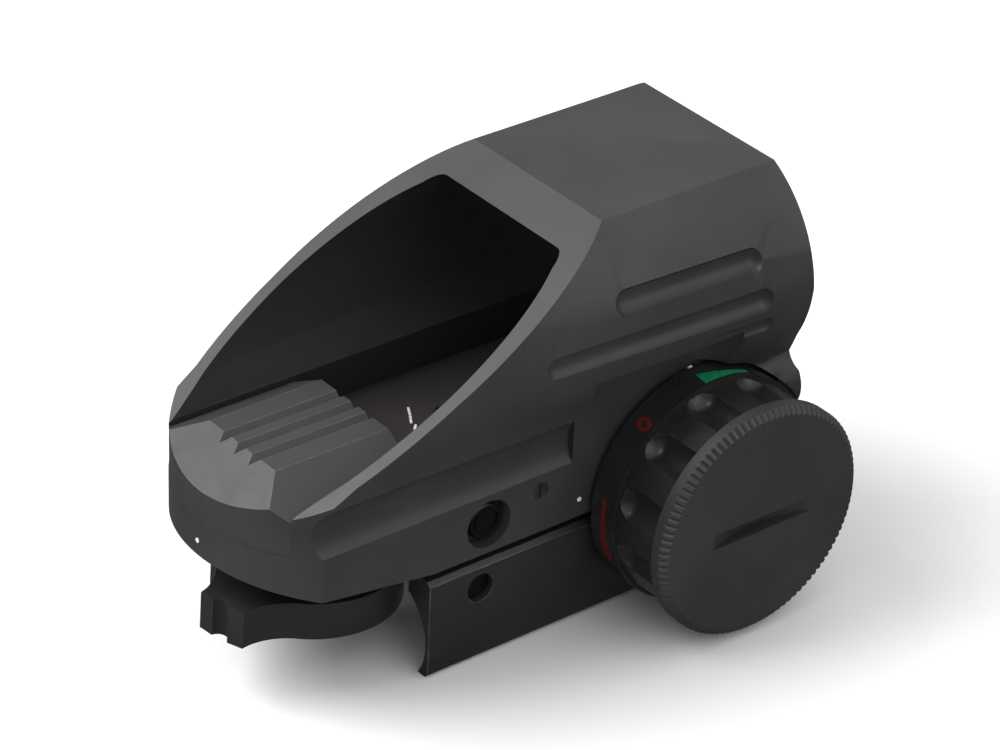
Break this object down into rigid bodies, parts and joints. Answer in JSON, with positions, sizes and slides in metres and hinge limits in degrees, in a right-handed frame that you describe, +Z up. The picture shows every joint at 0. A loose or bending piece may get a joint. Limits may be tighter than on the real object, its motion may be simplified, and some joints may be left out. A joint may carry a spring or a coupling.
{
  "type": "red dot finder",
  "caption": "Compact reflex red dot finder with an open-backed hood, coated lens, reticle selector, brightness knob with a coin cell, and a rail clamp.",
  "frame": {"origin": "centre of the rail seat, the flat face that rests on the rail", "axes": "+X towards the brightness knob, +Y along the sight line towards the lens, +Z up from the rail"},
  "size_m": [0.0538, 0.0816, 0.057],
  "materials": {
    "anodised_body": "matte black anodised",
    "anodised_cover": "matte black anodised",
    "anodised_lever": "matte black anodised",
    "anodised_knob": "matte black anodised",
    "anodised_cap": "matte black anodised",
    "anodised_clamp": "matte black anodised",
    "ring_black": "matte black",
    "adjuster_black": "black oxide",
    "steel": "plain",
    "steel_black": "black oxide",
    "brass": "plain",
    "black_plastic": "matte",
    "white_plastic": "matte",
    "lens_glass": "red reflective coating",
    "prism_glass": "polished",
    "reticle_film": "opaque film",
    "board_green": "solder mask",
    "led_clear": "clear",
    "paint_green": "inlaid paint",
    "paint_red": "inlaid paint",
    "paint_white": "inlaid paint",
    "cell_steel": "nickel plated",
    "seal_rubber": "matte"
  },
  "bodies": {
    "sight": {"housing": "anodised_body", "emitter_cover": "anodised_cover", "cover_screws": "steel", "lens": "lens_glass", "lens_ring": "ring_black", "selector_detent": "steel", "led_board": "board_green", "emitter_leds": "led_clear", "switch_board": "board_green", "click_ball": "steel", "click_spring": "steel", "mount_block": "anodised_clamp", "mount_screws": "steel_black", "index_dots": "paint_white"},
    "windage": {"windage_screw": "adjuster_black", "windage_clip": "steel"},
    "windage_lock": {"windage_lock": "steel"},
    "elevation": {"elevation_screw": "adjuster_black"},
    "elevation_lock": {"elevation_lock": "steel"},
    "guide": {"carrier_guide": "brass", "windage_spring": "steel"},
    "carrier": {"emitter_carrier": "black_plastic", "emitter_prism": "prism_glass"},
    "selector": {"selector_lever": "anodised_lever", "reticle_wheel": "reticle_film", "selector_screw": "steel"},
    "knob": {"brightness_knob": "anodised_knob", "knob_clip": "steel", "green_marks": "paint_green", "red_marks": "paint_red", "wiper": "brass", "contact_sleeve": "white_plastic", "contact_rod": "brass", "battery_spring": "brass", "battery": "cell_steel"},
    "seal": {"cap_seal": "seal_rubber"},
    "cap": {"battery_cap": "anodised_cap", "cap_contact": "brass"},
    "jaw": {"clamp_jaw": "anodised_clamp"},
    "bolt_rear": {"clamp_bolt_rear": "steel_black"},
    "bolt_front": {"clamp_bolt_front": "steel_black"}
  },
  "joints": [
    {"name": "selector_turn", "type": "hinge", "parent": "sight", "child": "selector", "pos_m": [0, -0.0286, 0.01035], "axis": [0, 0.04, 0.9992], "range_deg": [-52, 26]},
    {"name": "knob_turn", "type": "hinge", "parent": "sight", "child": "knob", "pos_m": [0.0165, 0.0194, 0.01], "axis": [1, 0, 0], "range_deg": [-150, 150]},
    {"name": "cap_lift", "type": "slide", "parent": "knob", "child": "seal", "axis": [1, 0, 0], "range_m": [0, 0.0015]},
    {"name": "cap_turn", "type": "hinge", "parent": "seal", "child": "cap", "pos_m": [0.0292, 0.0194, 0.01], "axis": [1, 0, 0], "range_deg": [0, 720]},
    {"name": "windage_turn", "type": "hinge", "parent": "sight", "child": "windage", "pos_m": [0.015, -0.0127, 0.0136], "axis": [1, 0, 0], "range_deg": [-360.5, 360.5]},
    {"name": "elevation_turn", "type": "hinge", "parent": "sight", "child": "elevation", "pos_m": [0.002, -0.0119, 0.017], "axis": [0, 0, 1], "range_deg": [-360.5, 360.5]},
    {"name": "guide_slide", "type": "slide", "parent": "sight", "child": "guide", "axis": [0, 0, 1], "range_m": [-0.0003, 0.0003]},
    {"name": "carrier_slide", "type": "slide", "parent": "guide", "child": "carrier", "axis": [1, 0, 0], "range_m": [-0.0004, 0.0004]},
    {"name": "windage_lock_turn", "type": "hinge", "parent": "sight", "child": "windage_lock", "pos_m": [0.0155, -0.0045, 0.0155], "axis": [1, 0, 0], "range_deg": [0, 270]},
    {"name": "elevation_lock_turn", "type": "hinge", "parent": "sight", "child": "elevation_lock", "pos_m": [-0.0029, -0.0056, 0.017], "axis": [0, 0, 1], "range_deg": [0, 270]},
    {"name": "jaw_slide", "type": "slide", "parent": "sight", "child": "jaw", "axis": [-1, 0, 0], "range_m": [0, 0.0021]},
    {"name": "bolt_rear_turn", "type": "hinge", "parent": "jaw", "child": "bolt_rear", "pos_m": [-0.0154, -0.0131, 0.0037], "axis": [-1, 0, 0], "range_deg": [0, 1080.5]},
    {"name": "bolt_front_turn", "type": "hinge", "parent": "jaw", "child": "bolt_front", "pos_m": [-0.0154, 0.0105, 0.0037], "axis": [-1, 0, 0], "range_deg": [0, 1080.5]}
  ],
  "couplings": [
    {"joint": "cap_lift", "follows": "cap_turn", "m_per_rad": 0.00011937},
    {"joint": "elevation_turn", "follows": "guide_slide", "rad_per_m": 20944},
    {"joint": "windage_turn", "follows": "carrier_slide", "rad_per_m": 15708},
    {"joint": "bolt_rear_turn", "follows": "jaw_slide", "rad_per_m": 8976},
    {"joint": "bolt_front_turn", "follows": "jaw_slide", "rad_per_m": 8976}
  ]
}
